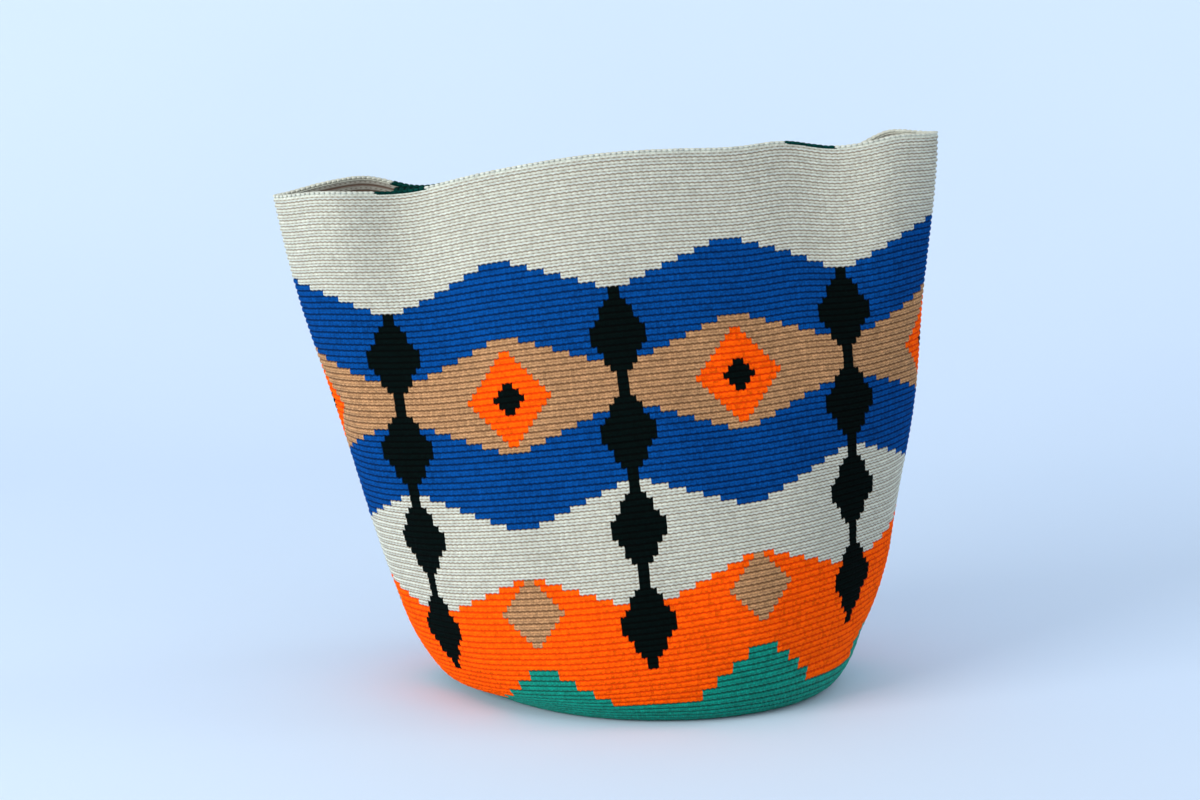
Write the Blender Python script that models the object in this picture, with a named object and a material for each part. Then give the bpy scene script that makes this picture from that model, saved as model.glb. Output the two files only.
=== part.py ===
"""Crocheted bucket bag: one worked-in-the-round body and two flat handles tucked inside.

Metres, +Z up. The origin is the middle of the flat base on the surface that the bag stands on,
+X runs along the wide mouth and -Y is the front. The body is one piece of crochet, from the
middle of its round base up to the rim. Its girth stays the same all the way up, so the mouth,
which is pulled nearly flat, is wider than the base. The whole bag leans towards -X.
"""

import math

import bmesh
import bpy
import numpy as np
from mathutils import Matrix, Vector

# Body
GIRTH = 0.826  # once round the tube, the same at every height
HEIGHT = 0.322  # floor to rim, before the bag leans
BASE_HALF_WIDTH = 1.02 * GIRTH / (2 * math.pi)  # at the floor, if its edge were not rounded
MOUTH_HALF_WIDTH = 0.2427 * GIRTH
FLARE_POWER = 1.22  # how soon the tube reaches its full width on the way up
WALL = 0.004  # thickness of the crochet
LEAN = math.radians(5.75)
LEAN_HEIGHT = 0.025  # height by which the wall has its full lean
LOW_TILT = 0.0415  # the lowest rounds slope this much more than the rest
LOW_TILT_HEIGHT = 0.060

# Rounded lower edge
EDGE_HEIGHT = 0.071
EDGE_INSET = 0.0345

# Soft shape of the mouth: the handles draw the rim in and down where they are sewn, and beyond
# them the mouth opens again into two lobes. Each row is x, width, how far the front and the
# back are pushed out, and how far the rim is lifted in front and at the back.
FOLDS = (
    (-0.1215, 0.032, -0.0085, -0.0090, -0.0050, -0.0135),  # the left ends of the handles
    (-0.1620, 0.026, 0.0100, 0.0, 0.0, 0.0),  # left lobe, in front
    (-0.1360, 0.030, 0.0, 0.0185, 0.0, 0.0090),  # left lobe, at the back
    (0.1100, 0.024, 0.0, 0.0, 0.0058, 0.0),  # the front's shoulder
    (0.1315, 0.037, -0.0095, -0.0095, -0.0063, -0.0130),  # the right ends of the handles
    (0.1690, 0.017, 0.0040, 0.0070, 0.0, 0.0020),  # right lobe
)
TIP_DROP_LEFT = 0.0021
TIP_DROP_RIGHT = 0.0035
TIP_REACH = 0.030
BULGE_REACH = 0.125
BULGE_FRONT = 0.0160
BULGE_BACK = 0.002
RIM_RISE_FRONT = 0.0084
RIM_DROP_BACK = 0.009
FOLD_POWER = 2.2  # how quickly the soft folds fade below the rim
FRONT_BLEND = 0.3  # the front's shape turns into the back's over this share to either side

# Crochet
ROUNDS = 94  # rounds in the wall, from the base's edge to the rim
STITCHES = 252  # stitches in each round
REPEAT = 42  # stitches in one repeat of the design
RIBS = 31  # the solid draws about three rounds as one rib
RIB_DEPTH = 0.0007
COLUMNS = 63
INNER_RINGS = 14
BASE_RINGS = 5

# Handles
FRONT_HANDLE_SPACING = 0.247  # between the middles of the handle's two ends
BACK_HANDLE_SPACING = 0.229
HANDLE_SPACING = {-1: FRONT_HANDLE_SPACING, 1: BACK_HANDLE_SPACING}
HANDLE_WIDTH = 0.030
HANDLE_THICKNESS = 0.0032
HANDLE_BEND = 0.0029  # radius of the turn over the rim
HANDLE_PATCH = 0.035  # length that is sewn flat against the inside of the wall
HANDLE_DROP = 0.150  # from the sewn patches to the bottom of the hanging loop
HANDLE_DRIFT = 0.026  # how far the loop's bottom swings towards its own wall
TWIST_START = 0.35  # shares of the loop's depth: where its twist starts, and how long it takes
TWIST_SPAN = 0.6
HANDLE_STEPS = 36
HANDLE_CORNERS = 8
NOTCH_DEPTH = 0.0034  # the handle's end lies in a gap in the rim's last round
CLEARANCE = 0.0005
SECTION_SAMPLES = 1440

YARNS = {
    "cream": (0.68, 0.67, 0.60),
    "blue": (0.012, 0.085, 0.36),
    "tan": (0.40, 0.245, 0.135),
    "orange": (0.90, 0.13, 0.008),
    "green": (0.006, 0.17, 0.125),
    "dark": (0.003, 0.018, 0.016),
}


def clear_scene():
    for old in list(bpy.data.objects):
        bpy.data.objects.remove(old)


def smooth(t):
    t = np.clip(t, 0.0, 1.0)
    return t * t * (3 - 2 * t)


def half_depth(half_width):
    """The other half axis of an ellipse with the bag's girth, by bisection on Ramanujan's formula."""
    low, high = 0.0, GIRTH
    for _ in range(60):
        middle = (low + high) / 2
        total = half_width + middle
        h = ((half_width - middle) / total) ** 2
        girth = math.pi * total * (1 + 3 * h / (10 + math.sqrt(4 - 3 * h)))
        if girth < GIRTH:
            low = middle
        else:
            high = middle
    return low


def section(height, inset_share):
    """The tube's outline at one height, from the back's middle: points and the share of the way round."""
    up = height / HEIGHT
    spread = (1 - up) ** FLARE_POWER
    half_width = MOUTH_HALF_WIDTH - (MOUTH_HALF_WIDTH - BASE_HALF_WIDTH) * spread
    inset = EDGE_INSET * inset_share
    angle = math.pi / 2 + np.linspace(0, 2 * math.pi, SECTION_SAMPLES + 1)
    across, front = np.cos(angle), -np.sin(angle)
    x = (half_width - inset) * across
    y = -(half_depth(half_width) - inset) * front
    fold = up**FOLD_POWER
    is_front = smooth((front + FRONT_BLEND) / (2 * FRONT_BLEND))
    middle = np.cos(math.pi / 2 * np.clip(x / BULGE_REACH, -1, 1)) ** 2
    push = middle * (BULGE_BACK + (BULGE_FRONT - BULGE_BACK) * is_front)
    lift = middle * (-RIM_DROP_BACK + (RIM_RISE_FRONT + RIM_DROP_BACK) * is_front)
    for at, width, push_front, push_back, lift_front, lift_back in FOLDS:
        near = np.exp(-(((x - at) / width) ** 2))
        flat = np.abs(front) ** 0.5
        push = push + near * flat * (push_back + (push_front - push_back) * is_front)
        lift = lift + near * (lift_back + (lift_front - lift_back) * is_front)
    for drop, side in ((TIP_DROP_LEFT, -1), (TIP_DROP_RIGHT, 1)):
        lift = lift - drop * smooth(1 - (MOUTH_HALF_WIDTH - side * x) / TIP_REACH)
    y = y - np.sign(front) * fold * push
    tilt = LOW_TILT * smooth(height / LOW_TILT_HEIGHT) * (1 - up) ** 1.5
    z = height + fold * lift + tilt * x
    along = np.concatenate([[0.0], np.cumsum(np.hypot(np.diff(x), np.diff(y)))])
    return np.stack([x, y, z], axis=1), along / along[-1]


def ring(height, inset_share, columns):
    points, along = section(height, inset_share)
    share = np.arange(columns) / columns
    return np.stack([np.interp(share, along, points[:, i]) for i in range(3)], axis=1)


def leaned(points):
    """The points after the wall has leaned: nothing at the floor, and all of it from LEAN_HEIGHT up."""
    points = np.asarray(points, float)
    x, y, z = points[..., 0], points[..., 1], points[..., 2]
    angle = LEAN * smooth(z / LEAN_HEIGHT)
    return np.stack(
        [x * np.cos(angle) - z * np.sin(angle), y, z * np.cos(angle) + x * np.sin(angle)],
        axis=-1,
    )


def profile(share):
    """(height, inset share) at a share of the way up the wall, the rounded lower edge included."""
    turn = np.linspace(0, math.pi / 2, 200)
    height, inset = EDGE_HEIGHT * (1 - np.cos(turn)), 1 - np.sin(turn)
    steps = np.hypot(np.diff(height), EDGE_INSET * np.diff(inset))
    length = np.concatenate([[0.0], np.cumsum(steps)])
    reached = share * (length[-1] + HEIGHT - EDGE_HEIGHT)
    if reached >= length[-1]:
        return EDGE_HEIGHT + reached - length[-1], 0.0
    return float(np.interp(reached, length, height)), float(np.interp(reached, length, inset))


def surface_rings(shares, columns):
    return np.array([leaned(ring(*profile(share), columns)) for share in shares])


def normals_of(rings):
    """Outward unit normals of a stack of rings, bottom ring first."""
    around = np.roll(rings, -1, axis=1) - np.roll(rings, 1, axis=1)
    up = np.gradient(rings, axis=0)
    normal = np.cross(around, up)
    return normal / np.linalg.norm(normal, axis=2, keepdims=True)


def in_diamond(across, row, centre, half_width, half_height):
    return across / half_width + abs(row - centre) / half_height < 1


def colour_at(row, stitch):
    """The yarn's colour at a round, counted up from the base's edge, and a stitch."""
    half = REPEAT / 2
    from_column = abs((stitch + half) % REPEAT - half)
    between = half - from_column
    step = from_column // 3
    tooth = 2 * max(0, 4 - between // 3)
    if any(in_diamond(from_column, row, centre, 5.2, 8.4) for centre in (21, 36, 51, 66)):
        return "dark"
    if row < 7 + tooth:
        return "green"
    if in_diamond(between, row, 58, 8.5, 8.5):
        return "dark" if in_diamond(between, row, 58, 3.5, 3.5) else "orange"
    if row < 24 + step:
        return "tan" if in_diamond(between, row, 24, 6, 6.5) else "orange"
    if row < 44 - step:
        return "cream"
    if row < 56 - step:
        return "blue"
    if row < 62 + step:
        return "tan"
    return "blue" if row < 74 + step else "cream"


def material(name, colour):
    made = bpy.data.materials.new(name)
    made.use_nodes = True
    shader = made.node_tree.nodes["Principled BSDF"]
    shader.inputs["Base Color"].default_value = (*colour, 1.0)
    shader.inputs["Roughness"].default_value = 0.85
    shader.inputs["Metallic"].default_value = 0.0
    made.diffuse_color = (*colour, 1.0)
    return made


def lofted(name, rings, middles, collection):
    """A closed mesh through rings of points, which are joined to a middle point at each end."""
    mesh = bpy.data.meshes.new(name)
    bm = bmesh.new()
    loops = [[bm.verts.new(point) for point in points] for points in rings]
    count = len(loops[0])
    for low, high in zip(loops, loops[1:]):
        for i in range(count):
            bm.faces.new((low[i], low[(i + 1) % count], high[(i + 1) % count], high[i]))
    for loop, middle in zip((loops[0], loops[-1]), middles):
        tip = bm.verts.new(middle)
        for i in range(count):
            bm.faces.new((loop[i], loop[(i + 1) % count], tip))
    bmesh.ops.recalc_face_normals(bm, faces=bm.faces)
    bm.to_mesh(mesh)
    bm.free()
    made = bpy.data.objects.new(name, mesh)
    collection.objects.link(made)
    mesh.shade_smooth()
    mesh.set_sharp_from_angle(angle=math.radians(50))
    return made


def body_rings():
    """The rings of the body's skin: out along the underside, up, over the rim and down inside."""
    shares = np.linspace(0, 1, 2 * RIBS + 1)
    outside = surface_rings(shares, COLUMNS)
    normal = normals_of(outside)
    ribbed = outside.copy()
    ribbed[2:-1:2] -= RIB_DEPTH * normal[2:-1:2]
    edge = outside[0]
    underside = [edge * (i / (BASE_RINGS + 1)) for i in range(1, BASE_RINGS + 1)]

    inner_shares = np.linspace(0, 1, INNER_RINGS)
    inside = surface_rings(inner_shares, COLUMNS)
    inside = inside - WALL * normals_of(inside)
    floor_edge = inside[0].copy()
    floor_edge[:, 2] = WALL
    inside[0] = floor_edge
    inside[-1, :, 2] = outside[-1, :, 2]
    floor = []
    for i in range(BASE_RINGS, 0, -1):
        points = floor_edge * (i / (BASE_RINGS + 1))
        points[:, 2] = WALL
        floor.append(points)
    rings = [*underside, *ribbed, *inside[::-1], *floor]
    return rings, (Vector((0, 0, 0)), Vector((0, 0, WALL)))


def paint_body(body):
    """Gives each face the yarn of the stitches that it covers."""
    for slot, (yarn, colour) in enumerate(YARNS.items()):
        body.data.materials.append(material("yarn_" + yarn, colour))
    slots = {yarn: i for i, yarn in enumerate(YARNS)}
    first = BASE_RINGS - 1
    for number, face in enumerate(body.data.polygons):
        layer, column = divmod(number, COLUMNS)
        layer -= first
        if layer < 0 or layer >= 2 * RIBS:
            yarn = "green" if layer < 0 else "cream"
        else:
            row = int((layer + 0.5) / (2 * RIBS) * ROUNDS)
            yarn = colour_at(row, (column + 0.5) / COLUMNS * STITCHES)
        face.material_index = slots[yarn]


def wall_place(side, end, drop, slope=0.0):
    """The wall where a handle is sewn on, this far below the rim: (point outside, outward, along).

    slope is the rim's slope there, because a handle hangs square to the rim.
    """
    points, _ = section(HEIGHT - drop, 0.0)
    order = np.where(points[:, 1] * side > 0)[0]
    order = order[np.argsort(points[order, 0])]
    facing = points[order]
    x = end * HANDLE_SPACING[side] / 2 + slope * drop + np.linspace(-0.5, 0.5, 7) * HANDLE_WIDTH
    across = np.stack([np.interp(x, facing[:, 0], facing[:, i]) for i in range(3)], axis=1)
    along = across[-1] - across[0]
    along /= np.linalg.norm(along)
    outward = np.array([along[1], -along[0], 0]) * -side
    outward /= np.linalg.norm(outward)
    innermost = ((across - across[3]) @ outward).min()
    return across[3] + outward * innermost, outward, along


def handle_end(side, end):
    """Points and thickness directions from the gap in the rim to the bottom of the sewn patch."""
    rim, outward, along = wall_place(side, end, 0)
    up = np.cross(along, outward) * side
    slope = along[2] / along[0]
    inset = 1.1 * WALL + CLEARANCE + HANDLE_THICKNESS / 2
    top = rim - up * (NOTCH_DEPTH - CLEARANCE - HANDLE_THICKNESS / 2)
    corner = top - outward * (inset - HANDLE_BEND)
    points, thick = [top], [up]
    for turn in np.linspace(0, math.pi / 2, 5):
        points.append(
            corner - HANDLE_BEND * (outward * math.sin(turn) + up * (1 - math.cos(turn)))
        )
        thick.append(up * math.cos(turn) - outward * math.sin(turn))
    for drop in np.linspace(2 * HANDLE_BEND, HANDLE_PATCH, 5):
        at, outward, _ = wall_place(side, end, drop, slope)
        points.append(at - outward * inset)
        thick.append(-outward)
    return points, thick


def handle_route(side):
    """Points, width directions and thickness directions along a handle, before leaning.

    It starts in its gap at the outside of the rim, runs down inside the wall as far as it is sewn,
    hangs in a loop that twists to lie flat at its bottom, and comes back up to the other end.
    """
    left_points, left_thick = handle_end(side, -1)
    right_points, right_thick = handle_end(side, 1)
    start, finish = left_points[-1], right_points[-1]
    points, thick = [], []
    for turn in np.linspace(0, math.pi, HANDLE_STEPS + 1)[1:-1]:
        low = math.sin(turn)
        share = (1 - math.cos(turn)) / 2
        hang = np.array([0, side * HANDLE_DRIFT * low**2, -HANDLE_DROP * low])
        points.append(start + (finish - start) * share + hang)
        thick.append(np.array([0, -side, 0]))
    route = np.array([*left_points, *points, *right_points[::-1]])
    thick = np.array([*left_thick, *thick, *right_thick[::-1]])
    tangent = np.gradient(route, axis=0)
    tangent /= np.linalg.norm(tangent, axis=1, keepdims=True)
    thick -= tangent * (thick * tangent).sum(axis=1, keepdims=True)
    thick /= np.linalg.norm(thick, axis=1, keepdims=True)
    width = np.cross(tangent, thick)
    bare = np.zeros(len(left_points))
    middle = np.sin(np.linspace(0, math.pi, HANDLE_STEPS + 1)[1:-1])
    twist = np.concatenate([bare, math.pi / 2 * smooth((middle - TWIST_START) / TWIST_SPAN), bare])[:, None]
    turned = width * np.cos(twist) - thick * np.sin(twist)
    return route, turned, thick * np.cos(twist) + width * np.sin(twist)


def build_body(collection, cutters):
    rings, middles = body_rings()
    body = lofted("bag_body", rings, middles, collection)
    paint_body(body)
    for side, side_name in ((-1, "front"), (1, "back")):
        for end, end_name in ((-1, "left"), (1, "right")):
            place, outward, along = wall_place(side, end, 0)
            bpy.ops.mesh.primitive_cube_add(size=1)
            cutter = bpy.context.object
            cutter.name = f"cut_{side_name}_{end_name}"
            depth = NOTCH_DEPTH + RIM_RISE_FRONT
            sides = (HANDLE_WIDTH + 2 * CLEARANCE, 6 * WALL, depth, 1)
            cutter.data.transform(Matrix.Diagonal(sides))
            up = np.cross(along, outward) * side
            middle = Vector(place + up * (depth / 2 - NOTCH_DEPTH))
            turn = Matrix((along, outward, up)).transposed().to_4x4()
            cutter.matrix_world = (
                Matrix.Rotation(-LEAN, 4, "Y") @ Matrix.Translation(middle) @ turn
            )
            for old in list(cutter.users_collection):
                old.objects.unlink(cutter)
            cutters.objects.link(cutter)
            cutter.hide_render = True
            cutter.display_type = "WIRE"
            gap = body.modifiers.new(cutter.name, "BOOLEAN")
            gap.operation = "DIFFERENCE"
            gap.object = cutter
    return body


def build_handle(name, side, collection):
    turn = 2 * math.pi * (np.arange(HANDLE_CORNERS) + 0.5) / HANDLE_CORNERS
    across = np.sign(np.cos(turn)) * np.abs(np.cos(turn)) ** 0.35 * HANDLE_WIDTH / 2
    through = np.sign(np.sin(turn)) * np.abs(np.sin(turn)) ** 0.5 * HANDLE_THICKNESS / 2
    rings = [
        leaned(point + across[:, None] * width + through[:, None] * thick)
        for point, width, thick in zip(*handle_route(side))
    ]
    ends = [Vector(ring_points.mean(axis=0)) for ring_points in (rings[0], rings[-1])]
    handle = lofted(name, rings, ends, collection)
    handle.data.materials.append(material("yarn_" + name, YARNS["dark"]))


def main():
    clear_scene()
    bag = bpy.data.collections.new("crocheted_bucket_bag")
    cutters = bpy.data.collections.new("cutters")
    bpy.context.scene.collection.children.link(bag)
    bpy.context.scene.collection.children.link(cutters)
    build_body(bag, cutters)
    build_handle("front_handle", -1, bag)
    build_handle("back_handle", 1, bag)


main()
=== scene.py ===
"""The look of a crocheted bucket bag: every stitch of its wall, its rim, its base and its handles.

Metres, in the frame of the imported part. The wall's outside is one net of points in which each
stitch has its own two legs, cut into pieces by the colour of the yarn. The design is a plain
repeat of stepped bands and diamonds.
"""

import math

import bpy
import numpy as np
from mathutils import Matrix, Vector


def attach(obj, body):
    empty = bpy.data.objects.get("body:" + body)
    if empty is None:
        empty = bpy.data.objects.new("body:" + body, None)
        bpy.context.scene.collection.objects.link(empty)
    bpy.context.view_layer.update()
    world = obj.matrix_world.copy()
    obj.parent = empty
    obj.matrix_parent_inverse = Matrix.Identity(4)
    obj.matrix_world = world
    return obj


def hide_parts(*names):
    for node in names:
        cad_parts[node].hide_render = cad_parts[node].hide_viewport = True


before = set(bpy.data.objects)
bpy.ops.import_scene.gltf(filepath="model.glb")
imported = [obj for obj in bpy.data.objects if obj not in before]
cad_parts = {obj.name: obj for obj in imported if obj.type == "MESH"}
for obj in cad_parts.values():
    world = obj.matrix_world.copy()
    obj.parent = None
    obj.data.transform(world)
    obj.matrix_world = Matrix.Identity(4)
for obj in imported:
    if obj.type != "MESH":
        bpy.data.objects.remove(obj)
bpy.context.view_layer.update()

# Shape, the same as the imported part's
GIRTH = 0.826
HEIGHT = 0.322
BASE_HALF_WIDTH = 1.02 * GIRTH / (2 * math.pi)
MOUTH_HALF_WIDTH = 0.2427 * GIRTH
FLARE_POWER = 1.22
WALL = 0.004
LEAN = math.radians(5.75)
LEAN_HEIGHT = 0.025
LOW_TILT = 0.0415
LOW_TILT_HEIGHT = 0.060
EDGE_HEIGHT = 0.071
EDGE_INSET = 0.0345
# Soft shape of the mouth: the handles draw the rim in and down where they are sewn, and beyond
# them the mouth opens again into two lobes. Each row is x, width, how far the front and the
# back are pushed out, and how far the rim is lifted in front and at the back.
FOLDS = (
    (-0.1215, 0.032, -0.0085, -0.0090, -0.0050, -0.0135),  # the left ends of the handles
    (-0.1620, 0.026, 0.0100, 0.0, 0.0, 0.0),  # left lobe, in front
    (-0.1360, 0.030, 0.0, 0.0185, 0.0, 0.0090),  # left lobe, at the back
    (0.1100, 0.024, 0.0, 0.0, 0.0058, 0.0),  # the front's shoulder
    (0.1315, 0.037, -0.0095, -0.0095, -0.0063, -0.0130),  # the right ends of the handles
    (0.1690, 0.017, 0.0040, 0.0070, 0.0, 0.0020),  # right lobe
)
TIP_DROP_LEFT = 0.0021
TIP_DROP_RIGHT = 0.0035
TIP_REACH = 0.030
BULGE_REACH = 0.125
BULGE_FRONT = 0.0160
BULGE_BACK = 0.002
RIM_RISE_FRONT = 0.0084
RIM_DROP_BACK = 0.009
FOLD_POWER = 2.2
FRONT_BLEND = 0.3
FRONT_HANDLE_SPACING = 0.247
BACK_HANDLE_SPACING = 0.229
HANDLE_SPACING = {-1: FRONT_HANDLE_SPACING, 1: BACK_HANDLE_SPACING}
HANDLE_WIDTH = 0.030
HANDLE_THICKNESS = 0.0032
HANDLE_BEND = 0.0029
HANDLE_PATCH = 0.035
HANDLE_DROP = 0.150
HANDLE_DRIFT = 0.026
TWIST_START = 0.35
TWIST_SPAN = 0.6
HANDLE_STEPS = 36
NOTCH_DEPTH = 0.0034
CLEARANCE = 0.0005
SECTION_SAMPLES = 1440

# Crochet
ROUNDS = 94
STITCHES = 252
ROUND_HEIGHT = 0.0036
BASE_ROUNDS = 27
SPLIT_ROUND = 50  # each yarn's stitches are two pieces, below and from this round

# The wall's net: its rows in each round and its columns in each stitch. A stitch's columns are
# the gap before it, its first leg, its middle and its second leg.
ROWS = 4
COLS = 4
LEG_FOOT = 0.13  # how far a leg is from the stitch's middle at the bottom of the round, in stitches
LEG_SPREAD = 0.20  # how much farther it is at the top
SHIFT = 0.035  # how unevenly the stitches are spaced, in stitches
# How far each column stands out at each row of a round, in millimetres. The dips at the middle
# of the V and between two stitches make the dotted line along the round's middle.
DIPS = (
    (-0.85, -0.75, -0.95, -0.75),
    (-0.15, 0.12, 0.05, 0.12),
    (-0.30, 0.28, -0.65, 0.28),
    (-0.25, 0.10, -0.05, 0.10),
)
TONE_HEIGHT = 0.07  # how much farther a stitch stands out for each step of its tone, in millimetres
TEETH = (0.10, 0.02, -0.16, 0.02)  # how far each column's lower end is moved up, in rounds

# Faint soft dents of the wall, as waves: how many round the bag, how many up it, and their start.
DENTS = ((5, 1.1, 0.4), (9, -1.6, 2.1), (14, 2.3, 4.0))
DENT_DEPTH = 0.0007

# The inside and the base: a ridge to each round, and the plain disc in the middle of the base,
# as a share of its width.
INSIDE_RIDGE = 0.0008
INSIDE_SINK = 0.0006
FLOOR_RIDGE = 0.0007
FLOOR_DISC = 0.02
BASE_GROOVE = 0.0010
BASE_REST = 0.0002
BASE_DISC = 0.01

# The design, in stitches and in rounds up from the base's edge. Its columns of diamonds are one
# repeat apart. Each band ends at a round that steps up (1) or down (-1) away from a column.
REPEAT = 42
STEP = 3
GREEN_TOP = 7
TOOTH_STEPS = 4
TOOTH_ROUNDS = 2
BANDS = (("orange", 24, 1), ("cream", 44, -1), ("blue", 56, -1), ("tan", 62, 1), ("blue", 74, 1))
TOP_BAND = "cream"
COLUMN_CENTRES = (21, 36, 51, 66)
COLUMN_DIAMOND = (5.2, 8.4)  # half its width and height
# Diamonds between two columns: middle, and half the width and height
LOW_TAN = (24, 6, 6.5)
HIGH_ORANGE = (58, 8.5, 8.5)
HIGH_DARK = (58, 3.5, 3.5)

YARNS = {
    "cream": (0.635, 0.685, 0.61),
    "blue": (0.0005, 0.064, 0.285),
    "tan": (0.53, 0.29, 0.135),
    "orange": (1.0, 0.12, 0.001),
    "green": (0.001, 0.295, 0.217),
    "dark": (0.0002, 0.0035, 0.0032),
}
STRAP = (0.0005, 0.036, 0.030)
# The line between two rounds is painted shade, a darker shade of the yarn where the rounds
# meet. In the two pale yarns the carried yarn also shows there as brown, and orange is redder there.
PAINTED_GROOVE_SHADE = 0.16
PAINTED_GROOVE_COLOURS = {
    "cream": (0.22, 0.145, 0.085),
    "tan": (0.12, 0.052, 0.022),
    "orange": (0.75, 0.035, 0.0005),
}
# The painted shade between two rounds on the inside: darker, and in the two pale yarns also the
# carried yarn, as brown.
INSIDE_PAINTED_GROOVE_COLOURS = {"cream": (0.115, 0.062, 0.042), "tan": (0.07, 0.030, 0.013)}
# Of any yarn, and of those that differ: how wide that line of painted shade is, in rounds, how
# strong the dotted line of painted shade along the round's middle is, and how uneven the colour
# is, which also sets how dark the painted shade between two stitches is.
GROOVE_WIDTH, GROOVE_WIDTHS = 0.15, {"cream": 0.10}
# On the inside that line of painted shade is wide, so most of each round is darkened.
INSIDE_GROOVE_WIDTH = 0.50
DOT_STRENGTH, DOT_STRENGTHS = 0.4, {"cream": 1.0, "tan": 0.75}
UNEVENNESS_AND_GAP_SHADE, UNEVENNESSES_AND_GAP_SHADES = 1.7, {"cream": 0.9}
ROUGHNESS = 0.9
# Specular level and sheen: less of both in these yarns, so that they stay deep in colour.
DEEP_YARNS = ("dark", "strap", "blue", "orange")
DEEP_SHINE = (0.06, 0.0)
SHINE = (0.15, 0.05)
SHEEN_ROUGHNESS = 0.5
# Where plain yarn is in a stitch and a round, off every line of painted shade, and its tone
PLAIN_YARN = (0.25, 0.25, 0.0)

# The yarn's shader. Widths are in rounds or stitches.
NOISES = ((3200, 2), (1100, 2), (13, 4))  # scale and detail: fuzz, grain, and broad patches
RAGGED = 0.14  # how much the grain moves a line's edge
LINE_POWER = 0.7
# The dotted line along each round's middle is painted shade, darkest at the hole in each V.
DOT_WIDTH = 0.13
HOLE_WIDTH = 0.36
LINE_SHARE = 0.60  # how dark the dotted line is between its holes
# The painted shade between two stitches: its width and how dark it is.
GAP_WIDTH = 0.16
PAINTED_GAP_SHADE = 0.32
PLY_ALONG = 17.0
PLY_SLANT = -19.0
BUMP_STRENGTH = 0.7
BUMP_DEPTH = 0.0003

# Rim: a rounded bed with a chain of V loops on it. A leg is a rounded grain.
RIM_ROWS = 7
RIM_INSET = 0.0002
RIM_HEIGHT = 0.0010
RIM_SINK = 0.0006
RIM_WEAVE = (0.3, 0.7)  # the part of a round's look that the bed takes
GRAIN_SEGMENTS = 8
GRAIN_RINGS = 5
LEG_WEAVE = (0.25, 0.335)  # where a leg is in its stitch and its round: on nearly plain yarn
CHAIN_LEG = (0.0046, 0.0020, 0.0018)  # length, width and height
CHAIN_SPREAD = 0.00105
CHAIN_RISE = 0.0007
CHAIN_SLANT = 0.42
CHAIN_TIP = 0.25
CHAIN_SIZE_SPREAD = 0.07
CHAIN_SEED = 3

# Handles
BEND_POINTS = 5
PATCH_POINTS = 5
ACROSS_POINTS = 7
WALL_ROOM = 1.1  # room for the wall's own curve between it and the strap, in its thicknesses
HANDLE_ROWS = 8
POINTS_PER_ROW = 3
RIDGE_POWER = 0.7
EDGE_POWER = 8
VALLEY = 0.72  # the strap's thickness between two rows, as a share of that on a row
BEAT = 0.09  # how much thicker each stitch makes it
SEWING_ROWS = 9
SEWING_COLUMNS = 7
SEWING_REACH = 0.42  # how far across the strap the last row goes, to each side
SEWING_STITCH = (0.0042, 0.0016, 0.0022)
SEWING_SIZE_SPREAD = 0.15
SEWING_SEED = 5
PROBE = 0.001  # a step along a direction, to see how leaning turns it

# Stage, lights and camera
FLOOR_HALF_WIDTH = 4.0
FLOOR_FRONT = -3.0
FLOOR_BACK = 0.6
FLOOR_CURVE = 1.2
CURVE_POINTS = 16
BACKDROP_TOP = 4.0
CLOTH_COLOURS = ((0.63, 0.765, 0.94, 1), (0.68, 0.81, 0.96, 1))
CLOTH_NOISE = 1.6
CLOTH_SPECULAR = 0.1
WORLD_LIT = ((0.97, 0.98, 1.0, 1), 0.695)
WORLD_SEEN = ((0.64, 0.80, 1.0, 1), 1.0)
# Name, place, target, size, watts and colour
LIGHTS = (
    ("key", (-2.1, -1.7, 0.95), (0, 0, 0.12), (1.6, 1.2), 64, (1.0, 0.98, 0.95)),
    ("fill", (1.8, -1.4, 1.0), (0, 0, 0.15), (1.4, 1.4), 4.5, (0.9, 0.95, 1.0)),
    ("backdrop", (2.2, 0.3, 1.8), (1.2, 1.7, 0.4), (1.2, 1.2), 10, (0.9, 0.95, 1.0)),
)
CAMERA_PLACE = (-0.035, -2.0, 0.5527)
CAMERA_DOWN = 10.72  # degrees
LENS = 100.3
SENSOR = 36

random = np.random.default_rng(7)


def smooth(t):
    t = np.clip(t, 0.0, 1.0)
    return t * t * (3 - 2 * t)


def half_depth(half_width):
    """The other half axis of an ellipse with the bag's girth, by bisection on Ramanujan's formula."""
    low, high = 0.0, GIRTH
    for _ in range(60):
        middle = (low + high) / 2
        total = half_width + middle
        h = ((half_width - middle) / total) ** 2
        girth = math.pi * total * (1 + 3 * h / (10 + math.sqrt(4 - 3 * h)))
        if girth < GIRTH:
            low = middle
        else:
            high = middle
    return low


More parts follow.
